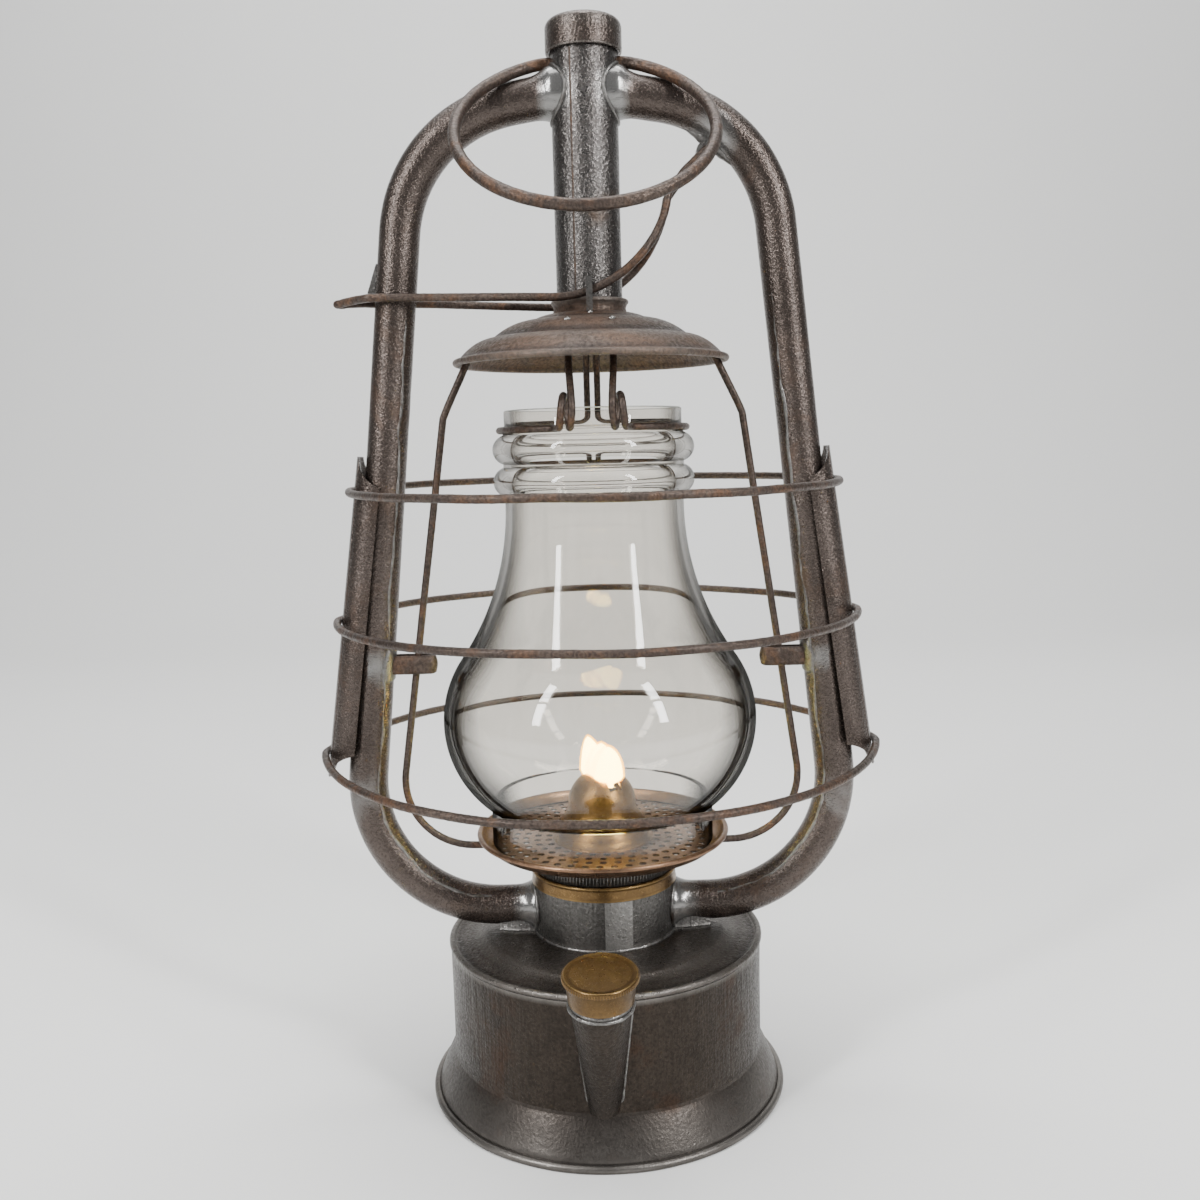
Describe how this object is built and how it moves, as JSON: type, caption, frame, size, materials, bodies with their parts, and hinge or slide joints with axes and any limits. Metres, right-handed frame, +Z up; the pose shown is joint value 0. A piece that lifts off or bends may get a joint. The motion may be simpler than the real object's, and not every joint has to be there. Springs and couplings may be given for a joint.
{
  "type": "hurricane lantern",
  "caption": "Tubular hurricane lantern: round fuel tank, tear-shaped glass globe in a wire guard, side air tubes, hood on a lift lever, carrying ring and wick burner.",
  "frame": {"origin": "centre of the tank's foot on the ground", "axes": "+Z up, -Y towards the filler cap, +X towards the tube that holds the lever's knuckle"},
  "size_m": [0.207, 0.1708, 0.3843],
  "materials": {
    "aged_steel": "worn satin",
    "rusty_steel": "rusty satin",
    "tinned_steel": "dull",
    "aged_brass": "aged satin",
    "aged_copper": "aged satin",
    "clear_glass": "clear",
    "cotton": "woven",
    "seal": "matt"
  },
  "bodies": {
    "frame": {"tank_wall": "aged_steel", "tank_floor": "aged_steel", "tank_top": "aged_steel", "base_skirt": "aged_steel", "filler_spout": "aged_steel", "filler_neck": "tinned_steel", "throat": "aged_steel", "throat_strap": "tinned_steel", "throat_ring": "aged_brass", "burner_body": "aged_brass", "wick_tube": "aged_brass", "left_wire_guide": "tinned_steel", "right_wire_guide": "tinned_steel", "left_tube": "aged_steel", "right_tube": "aged_steel", "centre_tube": "aged_steel", "top_cap": "aged_steel", "lever_knuckle": "tinned_steel", "lever_catch": "tinned_steel", "left_guard_plate": "aged_steel", "right_guard_plate": "aged_steel", "guard_hoop_top": "rusty_steel", "guard_hoop_middle": "rusty_steel", "guard_hoop_bottom": "rusty_steel"},
    "globe_carriage": {"hood": "rusty_steel", "hood_collar": "rusty_steel", "front_hook": "tinned_steel", "rear_hook": "tinned_steel", "globe_clip_left": "rusty_steel", "globe_clip_right": "rusty_steel", "lift_wire_left": "rusty_steel", "lift_wire_right": "rusty_steel", "globe_plate": "aged_copper", "plate_sleeve": "aged_steel", "burner_dome": "aged_brass", "globe": "clear_glass"},
    "lift_lever": {"lift_lever": "rusty_steel"},
    "carrying_ring": {"carrying_ring": "rusty_steel"},
    "cap_seal": {"cap_seal": "seal"},
    "filler_cap": {"filler_cap": "aged_brass"},
    "wick": {"wick": "cotton"},
    "winder": {"winder_shaft": "aged_brass", "winder_wheels": "aged_brass", "winder_knob": "aged_brass"}
  },
  "joints": [
    {"name": "globe_lift", "type": "slide", "parent": "frame", "child": "globe_carriage", "axis": [0, 0, 1], "range_m": [0, 0.02]},
    {"name": "lever_turn", "type": "hinge", "parent": "frame", "child": "lift_lever", "pos_m": [0.04145, 0, 0.33965], "axis": [0, 1, 0], "range_deg": [0, 21.3]},
    {"name": "ring_swing", "type": "hinge", "parent": "frame", "child": "carrying_ring", "pos_m": [0, 0, 0.3703], "axis": [-1, 0, 0], "range_deg": [0, 270]},
    {"name": "cap_rise", "type": "slide", "parent": "frame", "child": "cap_seal", "axis": [-0.0032, -0.1305, 0.9914], "range_m": [0, 0.0081]},
    {"name": "cap_turn", "type": "hinge", "parent": "cap_seal", "child": "filler_cap", "pos_m": [-0.00173, -0.07076, 0.0625], "axis": [-0.0032, -0.1305, 0.9914], "range_deg": [0, 1440]},
    {"name": "winder_turn", "type": "hinge", "parent": "frame", "child": "winder", "pos_m": [-0.00491, -0.00283, 0.08845], "axis": [0.5, -0.866, 0], "range_deg": [-68, 55]},
    {"name": "wick_rise", "type": "slide", "parent": "frame", "child": "wick", "axis": [0, 0, 1], "range_m": [-0.0051, 0.0042]}
  ],
  "couplings": [
    {"joint": "lever_turn", "follows": "globe_lift", "rad_per_m": 18.543},
    {"joint": "cap_rise", "follows": "cap_turn", "m_per_rad": 0.00031831},
    {"joint": "wick_rise", "follows": "winder_turn", "m_per_rad": 0.0042}
  ]
}
